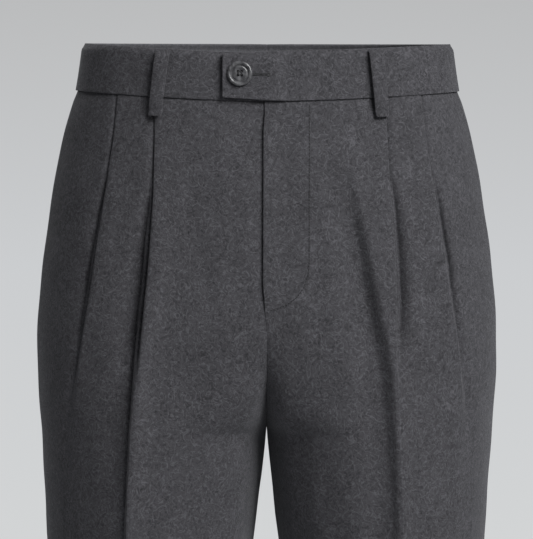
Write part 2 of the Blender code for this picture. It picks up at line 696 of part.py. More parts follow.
def loop_point(side, half, down, arc):
    """A point of a belt loop's mid-surface; past the centre back it lies across it."""
    if half == "front":
        return band_point(side, down, arc, loop_lift(down))
    section = Section(down, side)
    point = section.spot(section.end - abs(arc), loop_lift(down))
    if arc < 0:
        point[0] = -point[0]
    return point


def belt_loop(name, material, collection):
    side, half, top_arc, foot_arc = LOOPS[name]
    edges = (-LOOP_WIDTH / 2, 0.0, LOOP_WIDTH / 2)
    if half == "back":
        edges = edges[::-1]
    grid = []
    for down in LOOP_LEVELS:
        share = (down - LOOP_TOP) / (LOOP_FOOT - LOOP_TOP)
        middle = top_arc + (foot_arc - top_arc) * share
        grid.append([loop_point(side, half, down, middle + edge) for edge in edges])
    mesh = wall_mesh(name, np.array(grid), LOOP_CLOTH, (None, None), side == "right")
    make_piece(name, mesh, material, collection)


# ---------------------------------------------------------------- waist button

def waist_button(material, collection):
    """A turned four-hole button that stands just off the tab, square to it."""
    mesh = bpy.data.meshes.new("waist_button")
    points = [(radius * BUTTON_RADIUS, 0.0, height * BUTTON_THICKNESS)
              for radius, height in BUTTON_PROFILE]
    mesh.from_pydata(points, [(i, i + 1) for i in range(len(points) - 1)], [])
    button = make_piece("waist_button", mesh, material, collection)
    turn = button.modifiers.new("turned", "SCREW")
    turn.steps = BUTTON_STEPS
    turn.render_steps = BUTTON_STEPS
    turn.use_merge_vertices = True
    turn.merge_threshold = 0.00001
    turn.use_smooth_shade = True
    for i in range(BUTTON_HOLES):
        angle = 2 * math.pi * (i + 0.5) / BUTTON_HOLES
        x, y = BUTTON_HOLE_SPREAD * math.cos(angle), BUTTON_HOLE_SPREAD * math.sin(angle)
        bpy.ops.mesh.primitive_cylinder_add(vertices=12, radius=BUTTON_HOLE_RADIUS,
                                            depth=BUTTON_THICKNESS * 3, location=(x, y, 0))
        cutter = bpy.context.object
        cutter.name = "button_hole_cutter_%d" % (i + 1)
        hide_cutter(cutter)
        cutter.parent = button
        cut = button.modifiers.new("hole", "BOOLEAN")
        cut.object = cutter
        cut.operation = "DIFFERENCE"
        cut.solver = "EXACT"
    lift = band_lift(BUTTON_X, "left") + BAND_CLOTH / 2 + SEAM
    seat = band_point("left", BUTTON_LEVEL, BUTTON_X, lift)
    near = BUTTON_RADIUS / 2
    along = (band_point("left", BUTTON_LEVEL, BUTTON_X + near, lift)
             - band_point("left", BUTTON_LEVEL, BUTTON_X - near, lift))
    button.location = (seat[0], seat[1], BUTTON_Z)
    button.rotation_euler = (math.radians(90 - BUTTON_TILT), 0, math.atan2(along[1], along[0]))


def hide_cutter(cutter):
    for collection in list(cutter.users_collection):
        collection.objects.unlink(cutter)
    bpy.data.collections["cutters"].objects.link(cutter)
    cutter.hide_render = True
    cutter.display_type = "WIRE"


# ---------------------------------------------------------------- the whole

def make_material(name, colour, roughness):
    material = bpy.data.materials.new(name)
    material.use_nodes = True
    shader = material.node_tree.nodes["Principled BSDF"]
    shader.inputs["Base Color"].default_value = colour
    shader.inputs["Roughness"].default_value = roughness
    material.diffuse_color = colour
    return material


def main():
    for old in list(bpy.data.objects):
        bpy.data.objects.remove(old, do_unlink=True)
    collection = bpy.data.collections.new("pleated_dress_trousers")
    bpy.context.scene.collection.children.link(collection)
    cutters = bpy.data.collections.new("cutters")
    bpy.context.scene.collection.children.link(cutters)
    wool = make_material("wool", *MATERIALS["wool"])
    horn = make_material("horn", *MATERIALS["horn"])
    for side in ("left", "right"):
        front_panel(side, wool, collection)
        back_panel(side, wool, collection)
        waistband(side, wool, collection)
    for name in LOOPS:
        belt_loop(name, wool, collection)
    waist_button(horn, collection)


main()
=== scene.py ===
"""Pleated flannel dress trousers, filled out as on a wearer who isn't there."""
import math

import bpy
import numpy as np
from mathutils import Matrix, Vector
from mathutils.bvhtree import BVHTree


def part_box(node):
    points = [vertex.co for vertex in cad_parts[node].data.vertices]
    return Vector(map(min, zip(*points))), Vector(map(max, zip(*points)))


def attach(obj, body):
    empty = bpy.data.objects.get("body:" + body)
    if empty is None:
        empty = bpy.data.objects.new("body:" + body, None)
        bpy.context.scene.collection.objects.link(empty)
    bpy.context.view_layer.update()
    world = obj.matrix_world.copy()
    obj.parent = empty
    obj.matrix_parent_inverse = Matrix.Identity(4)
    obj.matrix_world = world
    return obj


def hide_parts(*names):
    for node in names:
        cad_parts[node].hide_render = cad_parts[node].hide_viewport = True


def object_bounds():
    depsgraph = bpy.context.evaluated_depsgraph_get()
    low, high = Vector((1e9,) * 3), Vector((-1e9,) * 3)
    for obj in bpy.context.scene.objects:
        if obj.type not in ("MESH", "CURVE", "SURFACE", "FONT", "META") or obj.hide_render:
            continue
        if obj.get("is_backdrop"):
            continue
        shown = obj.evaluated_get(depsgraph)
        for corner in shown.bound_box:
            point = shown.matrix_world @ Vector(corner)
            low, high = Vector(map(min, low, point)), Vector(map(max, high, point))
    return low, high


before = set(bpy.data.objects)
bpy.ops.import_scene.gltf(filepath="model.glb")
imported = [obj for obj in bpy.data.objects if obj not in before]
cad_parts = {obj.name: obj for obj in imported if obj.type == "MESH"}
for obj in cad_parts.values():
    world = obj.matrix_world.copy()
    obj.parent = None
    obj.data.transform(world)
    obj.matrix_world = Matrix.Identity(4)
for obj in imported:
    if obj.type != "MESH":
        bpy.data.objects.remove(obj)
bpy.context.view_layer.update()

# ---------------------------------------------------------------- studio
# The trousers hang in the air before a pale studio sweep whose colour is painted light:
# lighter towards the floor, seen by the camera alone and lighting nothing. A large soft lamp
# stands high on the right of the camera, a weak one low on the left and one behind. The camera
# looks straight at the front, from a little above.

CAMERA_DISTANCE = 3.0
CAMERA_ELEVATION = math.radians(3.5)
CAMERA_TARGET = Vector((-0.0004, 0.0, -0.1735))
CAMERA_ROLL = math.radians(0.15)
VIEW_WIDTH = 0.4584
SENSOR_WIDTH = 36

camera = bpy.data.objects.new("camera", bpy.data.cameras.new("camera"))
bpy.context.scene.collection.objects.link(camera)
towards = Vector((0, -math.cos(CAMERA_ELEVATION), math.sin(CAMERA_ELEVATION)))
camera.location = CAMERA_TARGET + towards * CAMERA_DISTANCE
turned = towards.to_track_quat("Z", "Y") @ Matrix.Rotation(CAMERA_ROLL, 3, "Z").to_quaternion()
camera.rotation_euler = turned.to_euler()
camera.data.sensor_fit = "HORIZONTAL"
camera.data.sensor_width = SENSOR_WIDTH
camera.data.lens = SENSOR_WIDTH * CAMERA_DISTANCE / VIEW_WIDTH
bpy.context.scene.camera = camera
bpy.context.scene.view_settings.view_transform = "Standard"

# Height of the view's direction, and the sweep's painted light there, lighter towards the floor
PAINTED_SWEEP_LIGHT = ((-0.137, (0.645, 0.658, 0.665)),
         (-0.060, (0.597, 0.610, 0.625)),
         (0.016, (0.497, 0.503, 0.509)))
AMBIENT = (0.62, 0.64, 0.68, 1.0)
AMBIENT_STRENGTH = 0.10

world = bpy.data.worlds.new("studio")
bpy.context.scene.world = world
world.use_nodes = True
nodes, links = world.node_tree.nodes, world.node_tree.links
nodes.clear()
direction = nodes.new("ShaderNodeTexCoord")
split = nodes.new("ShaderNodeSeparateXYZ")
spread = nodes.new("ShaderNodeMapRange")
ramp = nodes.new("ShaderNodeValToRGB")
painted_sweep = nodes.new("ShaderNodeBackground")
lit = nodes.new("ShaderNodeBackground")
path = nodes.new("ShaderNodeLightPath")
either = nodes.new("ShaderNodeMixShader")
output = nodes.new("ShaderNodeOutputWorld")
low, high = PAINTED_SWEEP_LIGHT[0][0], PAINTED_SWEEP_LIGHT[-1][0]
spread.inputs["From Min"].default_value = low
spread.inputs["From Max"].default_value = high
while len(ramp.color_ramp.elements) < len(PAINTED_SWEEP_LIGHT):
    ramp.color_ramp.elements.new(0.5)
for element, (height, colour) in zip(ramp.color_ramp.elements, PAINTED_SWEEP_LIGHT):
    element.position = (height - low) / (high - low)
    element.color = (*colour, 1.0)
lit.inputs["Color"].default_value = AMBIENT
lit.inputs["Strength"].default_value = AMBIENT_STRENGTH
links.new(direction.outputs["Generated"], split.inputs["Vector"])
links.new(split.outputs["Z"], spread.inputs["Value"])
links.new(spread.outputs["Result"], ramp.inputs["Fac"])
links.new(ramp.outputs["Color"], painted_sweep.inputs["Color"])
# The camera sees the sweep's painted light, and every other ray gets the dim ambient
links.new(path.outputs["Is Camera Ray"], either.inputs["Fac"])
links.new(lit.outputs["Background"], either.inputs[1])
links.new(painted_sweep.outputs["Background"], either.inputs[2])
links.new(either.outputs["Shader"], output.inputs["Surface"])

LAMPS = {
    # name: (place, size, power)
    "key_lamp": ((1.76, -2.36, 2.0), 1.9, 197),
    "fill_lamp": ((-2.7, -1.5, 0.6), 2.4, 9),
    "back_lamp": ((-1.5, 2.9, 1.7), 2.4, 70),
}
for name, (place, size, power) in LAMPS.items():
    lamp = bpy.data.objects.new(name, bpy.data.lights.new(name, "AREA"))
    lamp.data.energy = power
    lamp.data.size = size
    lamp.location = place
    lamp.rotation_euler = (Vector(place) - CAMERA_TARGET).to_track_quat("Z", "Y").to_euler()
    bpy.context.scene.collection.objects.link(lamp)

FLOOR_LEVEL = -1.110
FLOOR_RADIUS = 3.2
# The floor fades out between these shares of its radius
FADE_START, FADE_END = 0.4, 0.98
bpy.ops.object.select_all(action="DESELECT")
bpy.ops.mesh.primitive_circle_add(vertices=96, radius=FLOOR_RADIUS, fill_type="NGON",
                                  location=(0, 0, FLOOR_LEVEL))
floor = bpy.context.object
floor.name = "floor"
bpy.ops.object.transform_apply(location=True)
paper = bpy.data.materials.new("pale_paper")
paper.use_nodes = True
nodes, links = paper.node_tree.nodes, paper.node_tree.links
shader = nodes["Principled BSDF"]
shader.inputs["Base Color"].default_value = (0.66, 0.67, 0.68, 1.0)
shader.inputs["Roughness"].default_value = 0.95
place = nodes.new("ShaderNodeTexCoord")
flat = nodes.new("ShaderNodeVectorMath")
flat.operation = "MULTIPLY"
flat.inputs[1].default_value = (1, 1, 0)
reach = nodes.new("ShaderNodeVectorMath")
reach.operation = "LENGTH"
fade = nodes.new("ShaderNodeMapRange")
fade.interpolation_type = "SMOOTHSTEP"
fade.inputs["From Min"].default_value = FLOOR_RADIUS * FADE_START
fade.inputs["From Max"].default_value = FLOOR_RADIUS * FADE_END
fade.inputs["To Min"].default_value = 1.0
fade.inputs["To Max"].default_value = 0.0
links.new(place.outputs["Object"], flat.inputs[0])
links.new(flat.outputs["Vector"], reach.inputs[0])
links.new(reach.outputs["Value"], fade.inputs["Value"])
links.new(fade.outputs["Result"], shader.inputs["Alpha"])
floor.data.materials.append(paper)
floor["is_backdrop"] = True


# ---------------------------------------------------------------- fronts and backs
# Four panels of charcoal wool flannel, a cloth of 1.2 mm with a brushed face that hides
# its twill. Two pleats are folded into each front, and the panels are sewn together at the
# sides, the inseams and the seat, and pressed to a crease down each leg.

CLOTH_NOISES = {
    # name: (scale, detail, distortion)
    "curls": (118, 1, 1.8),
    "dark_curls": (104, 1, 2.1),
    "nap": (430, 3, 0.5),
    "fibres": (2600, 2, 0.2),
    "clouds": (42, 3, 0.6),
}
# A curl is a thin line along which its noise has this level
CURL_LEVEL, CURL_WIDTH = 0.5, 0.045
DARK_CURL_LEVEL, DARK_CURL_WIDTH = 0.47, 0.06
TWILL_PITCH, TWILL_JITTER = 0.0011, 0.0006
CLOTH_TONES = (
    # (layer, its middle value, how much it lightens the cloth)
    ("curled", 0.25, 0.52), ("sunk", 0.0, -0.30), ("nap", 0.5, 0.9),
    ("fibres", 0.5, 0.30), ("clouds", 0.5, 0.28), ("twill", 0.0, 0.035))
CLOTH_RELIEF = (
    # (layer, its share of the relief)
    ("nap", 0.6), ("fibres", 0.35), ("twill", 0.10), ("curled", 0.25))
# Nap from and to, and the roughness that it gives from and to
NAP_ROUGHNESS = (0.2, 0.8, 0.98, 0.84)


def add_input(group, name, kind, value):
    socket = group.interface.new_socket(name, in_out="INPUT", socket_type=kind)
    socket.default_value = value


def make_flannel_group():
    """Colour, roughness and height of a milled flannel: nap, curled fibres and a faint twill."""
    group = bpy.data.node_groups.new("milled_flannel", "ShaderNodeTree")
    add_input(group, "Colour", "NodeSocketColor", (0.06, 0.06, 0.07, 1))
    add_input(group, "Mottle", "NodeSocketFloat", 1.0)
    for name, kind in (("Colour", "NodeSocketColor"), ("Roughness", "NodeSocketFloat"),
                       ("Height", "NodeSocketFloat")):
        group.interface.new_socket(name, in_out="OUTPUT", socket_type=kind)
    nodes, links = group.nodes, group.links
    given = nodes.new("NodeGroupInput")
    result = nodes.new("NodeGroupOutput")
    place = nodes.new("ShaderNodeTexCoord")

    def noise(scale, detail, distortion):
        node = nodes.new("ShaderNodeTexNoise")
        node.inputs["Scale"].default_value = scale
        node.inputs["Detail"].default_value = detail
        node.inputs["Distortion"].default_value = distortion
        links.new(place.outputs["Object"], node.inputs["Vector"])
        return node.outputs["Fac"]

    def sum_of(operation, first, second):
        node = nodes.new("ShaderNodeMath")
        node.operation = operation
        for socket, value in zip(node.inputs, (first, second)):
            if isinstance(value, (int, float)):
                socket.default_value = value
            else:
                links.new(value, socket)
        return node.outputs["Value"]

    def ranged(value, low, high, to_low, to_high):
        node = nodes.new("ShaderNodeMapRange")
        for name, number in (("From Min", low), ("From Max", high),
                             ("To Min", to_low), ("To Max", to_high)):
            node.inputs[name].default_value = number
        links.new(value, node.inputs["Value"])
        return node.outputs["Result"]

    def lines_at(value, level, width):
        off = sum_of("ABSOLUTE", sum_of("SUBTRACT", value, level), 0)
        return ranged(off, 0.0, width, 1.0, 0.0)

    layers = {name: noise(*values) for name, values in CLOTH_NOISES.items()}
    layers["curled"] = lines_at(layers["curls"], CURL_LEVEL, CURL_WIDTH)
    layers["sunk"] = lines_at(layers["dark_curls"], DARK_CURL_LEVEL, DARK_CURL_WIDTH)

    weave_map = nodes.new("ShaderNodeUVMap")
    weave_map.uv_map = "weave"
    axes = nodes.new("ShaderNodeSeparateXYZ")
    links.new(weave_map.outputs["UV"], axes.inputs["Vector"])
    slant = sum_of("ADD", axes.outputs["X"], axes.outputs["Y"])
    jitter = sum_of("MULTIPLY", layers["nap"], TWILL_JITTER)
    turns = sum_of("MULTIPLY", sum_of("ADD", slant, jitter), 2 * math.pi / TWILL_PITCH)
    layers["twill"] = sum_of("SINE", turns, 0)

    lightness = 0.0
    for layer, middle, amount in CLOTH_TONES:
        tone = sum_of("MULTIPLY", sum_of("SUBTRACT", layers[layer], middle), amount)
        lightness = sum_of("ADD", lightness, tone)
    lightness = sum_of("MULTIPLY", lightness, given.outputs["Mottle"])
    scale = nodes.new("ShaderNodeVectorMath")
    scale.operation = "SCALE"
    links.new(given.outputs["Colour"], scale.inputs[0])
    links.new(sum_of("ADD", lightness, 1.0), scale.inputs["Scale"])
    links.new(scale.outputs["Vector"], result.inputs["Colour"])
    links.new(ranged(layers["nap"], *NAP_ROUGHNESS), result.inputs["Roughness"])
    height = 0.0
    for layer, amount in CLOTH_RELIEF:
        height = sum_of("ADD", height, sum_of("MULTIPLY", layers[layer], amount))
    links.new(height, result.inputs["Height"])
    return group


flannel_group = make_flannel_group()


def make_flannel(name, colour, mottle, relief, sheen):
    """A flannel material with its own colour, relief in metres and sheen."""
    material = bpy.data.materials.new(name)
    material.use_nodes = True
    nodes, links = material.node_tree.nodes, material.node_tree.links
    shader = nodes["Principled BSDF"]
    cloth = nodes.new("ShaderNodeGroup")
    cloth.node_tree = flannel_group
    cloth.inputs["Colour"].default_value = (*colour, 1.0)
    cloth.inputs["Mottle"].default_value = mottle
    bump = nodes.new("ShaderNodeBump")
    bump.inputs["Distance"].default_value = relief
    bump.inputs["Strength"].default_value = 0.8
    links.new(cloth.outputs["Colour"], shader.inputs["Base Color"])
    links.new(cloth.outputs["Roughness"], shader.inputs["Roughness"])
    links.new(cloth.outputs["Height"], bump.inputs["Height"])
    links.new(bump.outputs["Normal"], shader.inputs["Normal"])
    shader.inputs["Specular IOR Level"].default_value = 0.12
    shader.inputs["Sheen Weight"].default_value = sheen
    shader.inputs["Sheen Roughness"].default_value = 0.45
    shader.inputs["Sheen Tint"].default_value = (0.75, 0.76, 0.80, 1.0)
    return material


flannel = make_flannel("charcoal_flannel", (0.057, 0.0562, 0.0618), 1.0, 0.0006, 0.16)


def edit(piece, select_mode="VERT"):
    """Selects one piece alone and opens it for shaping."""
    if bpy.context.object and bpy.context.object.mode != "OBJECT":
        bpy.ops.object.mode_set(mode="OBJECT")
    bpy.ops.object.select_all(action="DESELECT")
    piece.select_set(True)
    bpy.context.view_layer.objects.active = piece
    bpy.ops.object.mode_set(mode="EDIT")
    bpy.ops.mesh.select_mode(type=select_mode)


def lay_weave(piece):
    """Unfolds a cloth so that its weave map is in metres, with the length of the cloth up it."""
    edit(piece, "FACE")
    bpy.ops.mesh.select_all(action="SELECT")
    bpy.ops.uv.unwrap(method="ANGLE_BASED", margin=0.001)
    bpy.ops.object.mode_set(mode="OBJECT")
    mesh = piece.data
    mesh.uv_layers.active.name = "weave"
    count = len(mesh.loops)
    flat = np.zeros(count * 2)
    mesh.uv_layers.active.uv.foreach_get("vector", flat)
    flat = flat.reshape(-1, 2)
    corner = np.zeros(count, int)
    mesh.loops.foreach_get("vertex_index", corner)
    place = np.zeros(len(mesh.vertices) * 3)
    mesh.vertices.foreach_get("co", place)
    height = place.reshape(-1, 3)[corner, 2]
    centred = np.column_stack((flat - flat.mean(0), np.ones(count)))
    slope = np.linalg.lstsq(centred, height, rcond=None)[0][:2]
    steep = np.linalg.norm(slope)
    up = slope / steep
    across = np.array((up[1], -up[0]))
    fitted = np.column_stack((flat @ across, flat @ up)) * steep
    mesh.uv_layers.active.uv.foreach_set("vector", fitted.ravel())


def points_of(piece):
    places = np.zeros(len(piece.data.vertices) * 3)
    piece.data.vertices.foreach_get("co", places)
    return places.reshape(-1, 3)


# Where the cut edges of a panel lie
CENTRE_SEAM = 0.0045
SIDE_SEAM_FRONT, SIDE_SEAM_BACK = -0.05, 0.06
WAIST_EDGE, WAIST_EDGE_DIP, WAIST_DIP_REACH = -0.0215, 0.012, 0.15
HEM_EDGE = -1.074


def panel_rim(place):
    """Whether a sharp edge is a cut edge of a panel, and not a pleat or a pressed crease."""
    x, y, z = place
    waist = WAIST_EDGE - WAIST_EDGE_DIP * (abs(x) < WAIST_DIP_REACH)
    on_side = SIDE_SEAM_FRONT < y < SIDE_SEAM_BACK
    return abs(x) < CENTRE_SEAM or on_side or z > waist or z < HEM_EDGE


def anywhere(place):
    return True


SEAM_REACH = 0.0002


def let_out_edges(piece, sharp):
    """Lets a panel's cut edges out until sewn neighbours meet, so no light shows through.

    A cut edge is a row of narrow faces, each between two opposite sharp edges.
    """
    places = points_of(piece)
    out = np.zeros_like(places)
    for face in piece.data.polygons:
        turned = [tuple(sorted(key)) in sharp for key in face.edge_keys]
        if len(turned) == 4 and (turned[0] and turned[2] or turned[1] and turned[3]):
            out[list(face.vertices)] += face.normal
    length = np.linalg.norm(out, axis=1)
    places += out / np.maximum(length, 1.0)[:, None] * SEAM_REACH
    move_points(piece, places)


MERGE_DISTANCE = 0.00002
TURNED_ANGLE = math.radians(60)


def cut_cloth(node, name, levels, edge_width, rim_angle=72, on_rim=anywhere, hardness=1.0):
    """A cloth's own wall as one smooth skin: merged, refined and with its edges turned."""
    piece = bpy.data.objects.new(name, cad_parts[node].data.copy())
    bpy.context.scene.collection.objects.link(piece)
    piece.data.materials.clear()
    piece.data.name = name
    edit(piece, "EDGE")
    bpy.ops.mesh.select_all(action="SELECT")
    bpy.ops.mesh.remove_doubles(threshold=MERGE_DISTANCE)
    bpy.ops.mesh.customdata_custom_splitnormals_clear()
    bpy.ops.mesh.tris_convert_to_quads(face_threshold=math.pi, shape_threshold=math.pi)
    bpy.ops.mesh.select_all(action="DESELECT")
    bpy.ops.mesh.edges_select_sharp(sharpness=math.radians(rim_angle))
    bpy.ops.object.mode_set(mode="OBJECT")
    places = points_of(piece)
    for edge in piece.data.edges:
        edge.select = bool(edge.select and on_rim(places[list(edge.vertices)].mean(0)))
    cut_edges = [edge for edge in piece.data.edges if edge.select]
    let_out_edges(piece, {tuple(sorted(edge.vertices)) for edge in cut_edges})
    bpy.ops.object.mode_set(mode="EDIT")
    bpy.ops.transform.edge_crease(value=hardness)
    bpy.ops.mesh.mark_seam()
    lay_weave(piece)
    finer = piece.modifiers.new("finer", "SUBSURF")
    finer.levels = levels
    finer.render_levels = levels
    finer.boundary_smooth = "PRESERVE_CORNERS"
    bpy.ops.object.modifier_apply(modifier="finer")
    turned = piece.modifiers.new("turned_edge", "BEVEL")
    turned.width = edge_width
    turned.segments = 2
    turned.limit_method = "ANGLE"
    turned.angle_limit = TURNED_ANGLE
    bpy.ops.object.modifier_apply(modifier="turned_edge")
    bpy.ops.object.shade_smooth_by_angle(angle=TURNED_ANGLE)
    return piece


def move_points(piece, places):
    piece.data.vertices.foreach_set("co", places.ravel())
    piece.data.update()


def soft(away):
    """1 in the middle of a fold and 0 from its edge on, smooth at both."""
    near = np.clip(1 - np.abs(away), 0, 1)
    return near * near * (3 - 2 * near)


def cusp(away):
    """1 in the middle of a fold, which it leaves steeply, and 0 from its edge on."""
    near = np.clip(1 - np.abs(away), 0, 1)
    return near * near


# Folds pressed in, first those beside the pleats, then the soft ones. Each is a line
# of points on the cloth: place across (x), height, half width and how far it stands out.
PLEAT_FOLDS = {
    "left_shelf_hollow": ((0.0640, -0.080, 0.022, 0.0), (0.0655, -0.097, 0.024, -0.0024),
                          (0.0690, -0.120, 0.026, -0.0048), (0.0742, -0.148, 0.030, -0.0064),
                          (0.0795, -0.178, 0.030, -0.0070), (0.0845, -0.203, 0.030, -0.0070),
                          (0.0895, -0.228, 0.030, -0.0064), (0.0945, -0.253, 0.029, -0.0056),
                          (0.0982, -0.295, 0.028, -0.0048), (0.1022, -0.344, 0.028, -0.0042),
                          (0.1052, -0.406, 0.028, -0.0036), (0.1105, -0.600, 0.028, -0.0020),
                          (0.1180, -0.820, 0.028, 0.0)),
    "right_inner_hollow": ((-0.0960, -0.092, 0.0060, 0.0), (-0.0975, -0.112, 0.0130, -0.0040),
                           (-0.1012, -0.145, 0.0220, -0.0068), (-0.1036, -0.178, 0.0290, -0.0090),
                           (-0.1065, -0.203, 0.0310, -0.0094), (-0.1090, -0.228, 0.0310, -0.0088),
                           (-0.1108, -0.253, 0.0300, -0.0070), (-0.1140, -0.295, 0.0280, -0.0050),
                           (-0.1164, -0.344, 0.0260, -0.0042), (-0.1194, -0.406, 0.0240, -0.0036),
                           (-0.1217, -0.635, 0.0210, -0.0020), (-0.1248, -0.820, 0.0160, 0.0)),
    "right_inner_ridge": ((-0.0960, -0.092, 0.015, 0.0), (-0.1006, -0.145, 0.022, 0.0018),
                          (-0.1059, -0.203, 0.026, 0.0032), (-0.1102, -0.253, 0.026, 0.0032),
                          (-0.1158, -0.344, 0.026, 0.0024), (-0.1211, -0.635, 0.020, 0.0)),
    "right_outer_hollow": ((-0.1320, -0.085, 0.0040, 0.0), (-0.1342, -0.095, 0.0060, -0.0018),
                           (-0.1396, -0.120, 0.0095, -0.0042), (-0.1438, -0.145, 0.0125, -0.0058),
                           (-0.1482, -0.170, 0.0135, -0.0060), (-0.1521, -0.195, 0.0125, -0.0046),
                           (-0.1570, -0.225, 0.0110, -0.0016), (-0.1600, -0.245, 0.0100, 0.0)),
    "left_outer_hollow": ((0.1398, -0.090, 0.0040, 0.0), (0.1446, -0.120, 0.0080, -0.0050),
                          (0.1481, -0.145, 0.0095, -0.0064), (0.1518, -0.170, 0.0100, -0.0062),
                          (0.1550, -0.195, 0.0095, -0.0034), (0.1600, -0.230, 0.0090, 0.0)),
    "left_inner_hollow": ((0.1032, -0.092, 0.0040, 0.0), (0.1054, -0.112, 0.0090, -0.0040),
                          (0.1082, -0.145, 0.0170, -0.0066), (0.1102, -0.178, 0.0180, -0.0066),
                          (0.1106, -0.203, 0.0170, -0.0044), (0.1102, -0.238, 0.0130, 0.0)),
}
# Each is steep on one side, where a pleat's edge or the raised band beside it lies
PLEAT_FORMS = {
    # fold: (its form, share of its half width towards the fly, and towards the side)
    "left_shelf_hollow": (soft, 1.0, 0.42),
    "right_inner_hollow": (cusp, 0.05, 1.0),
    "right_inner_ridge": (soft, 1.0, 0.03),
    "right_outer_hollow": (cusp, 0.12, 1.0),
    "left_outer_hollow": (cusp, 0.12, 1.0),
    "left_inner_hollow": (cusp, 0.10, 1.0),
}
FRONT_FOLDS = {
    "right_belly_trough": ((-0.066, -0.050, 0.008, 0.0), (-0.066, -0.080, 0.010, -0.0006),
                           (-0.060, -0.130, 0.011, -0.0007), (-0.050, -0.175, 0.012, -0.0010),
                           (-0.047, -0.230, 0.013, 0.0)),
    "right_belly_ridge": ((-0.088, -0.085, 0.012, 0.0), (-0.090, -0.130, 0.012, 0.0007),
                          (-0.088, -0.200, 0.015, 0.0009), (-0.086, -0.300, 0.018, 0.0)),
    "right_thigh_ridge": ((-0.074, -0.250, 0.018, 0.0), (-0.078, -0.310, 0.024, 0.0016),
                          (-0.084, -0.400, 0.026, 0.0018), (-0.092, -0.560, 0.024, 0.0)),
    "right_thigh_trough": ((-0.030, -0.300, 0.012, 0.0), (-0.036, -0.360, 0.015, -0.0012),
                           (-0.044, -0.430, 0.016, -0.0012), (-0.052, -0.560, 0.018, 0.0)),
    "left_thigh_trough": ((0.024, -0.265, 0.009, 0.0), (0.027, -0.310, 0.012, -0.0020),
                          (0.031, -0.400, 0.014, -0.0022), (0.043, -0.560, 0.018, 0.0)),
    "left_thigh_ridge": ((0.062, -0.210, 0.018, 0.0), (0.066, -0.290, 0.022, 0.0018),
                         (0.069, -0.370, 0.024, 0.0020), (0.080, -0.560, 0.024, 0.0)),
    "left_knee_trough": ((0.130, -0.520, 0.020, 0.0), (0.140, -0.600, 0.024, -0.0022),
                         (0.148, -0.700, 0.024, 0.0)),
    "right_knee_trough": ((-0.086, -0.540, 0.018, 0.0), (-0.092, -0.620, 0.022, -0.0020),
                          (-0.098, -0.720, 0.022, 0.0)),
    "right_crotch_pull": ((-0.010, -0.262, 0.008, 0.0), (-0.026, -0.246, 0.010, -0.0010),
                          (-0.048, -0.226, 0.012, 0.0)),
    "left_crotch_pull": ((0.010, -0.268, 0.008, 0.0), (0.024, -0.256, 0.010, -0.0008),
                         (0.042, -0.240, 0.012, 0.0)),
}
BACK_FOLDS = {
    "left_back_crease": ((0.1010, -0.300, 0.006, 0.0), (0.1060, -0.410, 0.006, 0.0010),
                         (0.1140, -0.635, 0.006, 0.0012), (0.1240, -1.072, 0.006, 0.0010)),
    "right_back_crease": ((-0.1010, -0.300, 0.006, 0.0), (-0.1060, -0.410, 0.006, 0.0010),
                          (-0.1140, -0.635, 0.006, 0.0012), (-0.1240, -1.072, 0.006, 0.0010)),
    "left_seat_pull": ((0.020, -0.270, 0.012, 0.0), (0.055, -0.250, 0.016, -0.0016),
                       (0.100, -0.215, 0.018, 0.0)),
    "right_seat_pull": ((-0.018, -0.262, 0.012, 0.0), (-0.050, -0.244, 0.015, -0.0014),
                        (-0.094, -0.214, 0.018, 0.0)),
    "left_thigh_drape": ((0.050, -0.300, 0.014, 0.0), (0.058, -0.400, 0.018, -0.0020),
                         (0.070, -0.560, 0.018, 0.0)),
    "right_thigh_drape": ((-0.046, -0.310, 0.014, 0.0), (-0.054, -0.420, 0.018, -0.0022),
                          (-0.066, -0.540, 0.018, 0.0)),
    "left_knee_break": ((0.080, -0.560, 0.012, 0.0), (0.112, -0.585, 0.014, -0.0014),
                        (0.150, -0.580, 0.014, 0.0)),
    "right_knee_break": ((-0.082, -0.572, 0.012, 0.0), (-0.116, -0.590, 0.014, -0.0014),
                         (-0.152, -0.578, 0.014, 0.0)),
}


def fold_lift(line, x, z, form=soft, inward=1.0, outward=1.0):
    """How far one fold makes the cloth stand out, at points of a face of the garment."""
    best = np.full(len(x), np.inf)
    lift = np.zeros(len(x))
    for (x0, z0, w0, d0), (x1, z1, w1, d1) in zip(line, line[1:]):
        along = np.array((x1 - x0, z1 - z0))
        t = np.clip(((x - x0) * along[0] + (z - z0) * along[1]) / (along @ along), 0, 1)
        across = x - x0 - t * along[0]
        away = np.hypot(across, z - z0 - t * along[1])
        width, depth = w0 + (w1 - w0) * t, d0 + (d1 - d0) * t
        width *= np.where(across * x0 > 0, outward, inward)
        nearer = away / width < best
        best = np.where(nearer, away / width, best)
        lift = np.where(nearer, depth, lift)
    return lift * form(best)


# Folds stand out from the middle of a leg, and above the fork from that of half the body.
# The fronts lie before the middle's depth and the backs behind it, and a way out is turned
# more to the front or the back than to the side.
MIDDLE_DEPTH = 0.012
BODY_MIDDLE, LEG_SPLAY = 0.055, 0.065
FORK_LEVEL, SPLAY_LENGTH = -0.30, 0.4
SIDE_DIVISOR = 2.2

# They fade out up to the waist seam, and down to the fork up to the centre seams too
FREE_LEVEL, FREE_EASE = -0.03, 0.05
HELD_FOOT, HELD_WIDTH, HELD_EASE = -0.36, 0.003, 0.016

# A faint ripple all over is a sum of products of two waves
RIPPLE = 0.0005
RIPPLE_WAVES = (
    # (share, first wave up and across, second wave up and across, its start)
    (1.0, 71, 23, 37, -61, 1.3), (0.6, 17, 190, 29, 0, 0.7))

# Down the fly the left edge stands off the right one, and laps over it where it is clear
FLY_TOP, FLY_FOOT, FLY_EASE = -0.027, -0.204, 0.022
FLY_LIFT = 0.0009
FLY_LAP = 0.0012
FLY_SPREAD = 0.014
CLEAR_LIFT = 0.75

# Under the seat the seam curves in, and its two edges are brought together
SEAT_TOP, SEAT_EASE = -0.190, 0.050
SEAT_SPREAD = 0.004
SEAT_CLOSE = 0.00026

